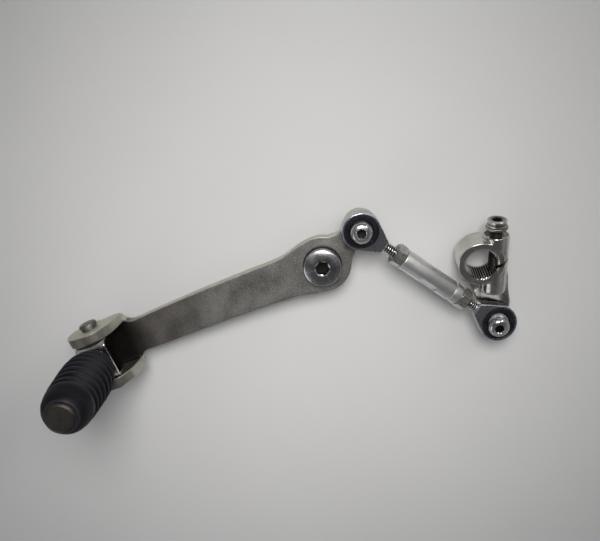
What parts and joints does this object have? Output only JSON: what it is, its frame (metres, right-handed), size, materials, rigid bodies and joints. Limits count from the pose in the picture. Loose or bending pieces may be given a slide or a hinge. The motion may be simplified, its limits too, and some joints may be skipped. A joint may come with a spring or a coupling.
{
  "type": "motorcycle gear shift lever",
  "caption": "Gear shift lever on a pivot bolt, with a folding rubber peg, an adjustable link rod on ball rod ends, and a splined shift arm with a pinch bolt.",
  "frame": {"origin": "centre of the pivot bolt's inner end face, the end that goes into the motorcycle's frame", "axes": "+Z along the pivot axis, out to the bolt's head and along the foot peg; the lever runs along -X to the peg, and the link rod and shift arm lie on the +X side"},
  "size_m": [0.2224, 0.0907, 0.0934],
  "materials": {
    "polished_steel": "polished steel",
    "blasted_steel": "bead-blasted, zinc-washed steel",
    "zinc_steel": "zinc-plated steel",
    "bronze": "plain bearing bronze",
    "peg_core_steel": "dark turned steel",
    "rod_end_steel": "bright plated steel",
    "cast_steel": "polished forging",
    "aluminium": "satin turned aluminium",
    "rubber": "matte black rubber"
  },
  "bodies": {
    "pivot": {"pivot_bolt": "polished_steel", "pivot_washer_front": "polished_steel", "pivot_seal_front": "rubber", "pivot_seal_back": "rubber", "pivot_spacer": "polished_steel"},
    "lever": {"lever_plate": "blasted_steel", "pivot_bush": "bronze", "hinge_pin": "zinc_steel", "pin_clip": "zinc_steel", "rod_end_bolt_1": "polished_steel", "spacer_1": "zinc_steel", "lock_nut_1": "zinc_steel"},
    "peg": {"peg_bracket": "blasted_steel", "peg_shaft": "peg_core_steel", "peg_rubber": "rubber", "peg_end_cap": "peg_core_steel", "peg_spring": "blasted_steel"},
    "ball_1": {"ball_1": "polished_steel"},
    "link_end_1": {"rod_end_1": "rod_end_steel", "race_1": "polished_steel", "seal_1_front": "rubber", "seal_1_back": "rubber"},
    "jam_nuts": {"jam_nut_1": "zinc_steel", "jam_nut_2": "zinc_steel"},
    "turnbuckle": {"turnbuckle": "aluminium"},
    "link_end_2": {"rod_end_2": "rod_end_steel", "race_2": "polished_steel", "seal_2_front": "rubber", "seal_2_back": "rubber"},
    "ball_2": {"ball_2": "polished_steel"},
    "arm": {"shift_arm": "cast_steel", "rod_end_bolt_2": "polished_steel", "spacer_2": "zinc_steel", "lock_nut_2": "zinc_steel"},
    "clamp_washer": {"clamp_washer": "zinc_steel"},
    "clamp_bolt": {"clamp_bolt": "polished_steel"}
  },
  "joints": [
    {"name": "lever_pivot", "type": "hinge", "parent": "pivot", "child": "lever", "pos_m": [0, 0, 0], "axis": [0, 0, 1], "range_deg": [-15, 15]},
    {"name": "peg_fold", "type": "hinge", "parent": "lever", "child": "peg", "pos_m": [-0.1194, 0, 0.026], "axis": [0, 1, 0], "range_deg": [0, 70], "stiffness_Nm_per_rad": 0.4, "springref_deg": -28.65},
    {"name": "rod_end_1_swivel", "type": "hinge", "parent": "lever", "child": "ball_1", "pos_m": [0.0242, 0.0108, 0.0244], "axis": [0, 0, 1], "range_deg": [-40, 60]},
    {"name": "rod_end_1_tilt", "type": "hinge", "parent": "ball_1", "child": "link_end_1", "pos_m": [0.0242, 0.0108, 0.0244], "axis": [0.8457, 0.5336, 0], "range_deg": [-15, 8]},
    {"name": "length_adjust", "type": "slide", "parent": "link_end_1", "child": "jam_nuts", "axis": [0.5314, -0.8423, -0.0903], "range_m": [-0.0021, 0.0021]},
    {"name": "turnbuckle_turn", "type": "hinge", "parent": "jam_nuts", "child": "turnbuckle", "pos_m": [0.0242, 0.0108, 0.0244], "axis": [0.5314, -0.8423, -0.0903], "range_deg": [-740, 740]},
    {"name": "rod_end_2_slide", "type": "slide", "parent": "link_end_1", "child": "link_end_2", "axis": [0.5314, -0.8423, -0.0903], "range_m": [-0.004, 0.004]},
    {"name": "rod_end_2_tilt", "type": "hinge", "parent": "link_end_2", "child": "ball_2", "pos_m": [0.0695, -0.061, 0.0167], "axis": [-0.5532, 0.8279, 0.0921], "range_deg": [-3, 24]},
    {"name": "rod_end_2_swivel", "type": "hinge", "parent": "ball_2", "child": "arm", "pos_m": [0.0695, -0.061, 0.0167], "axis": [-0.0634, -0.1521, 0.9863], "range_deg": [-60, 6]},
    {"name": "clamp_bolt_travel", "type": "slide", "parent": "arm", "child": "clamp_washer", "axis": [0.3423, 0.9251, 0.1646], "range_m": [-0.0045, 0.003]},
    {"name": "clamp_bolt_turn", "type": "hinge", "parent": "clamp_washer", "child": "clamp_bolt", "pos_m": [0.07903, -0.03008, 0.01468], "axis": [0.3423, 0.9251, 0.1646], "range_deg": [-1630, 1090]}
  ],
  "couplings": [
    {"joint": "length_adjust", "follows": "rod_end_2_slide", "ratio": 0.5},
    {"joint": "turnbuckle_turn", "follows": "rod_end_2_slide", "rad_per_m": 3141.6},
    {"joint": "clamp_bolt_turn", "follows": "clamp_bolt_travel", "rad_per_m": 6283.2}
  ]
}
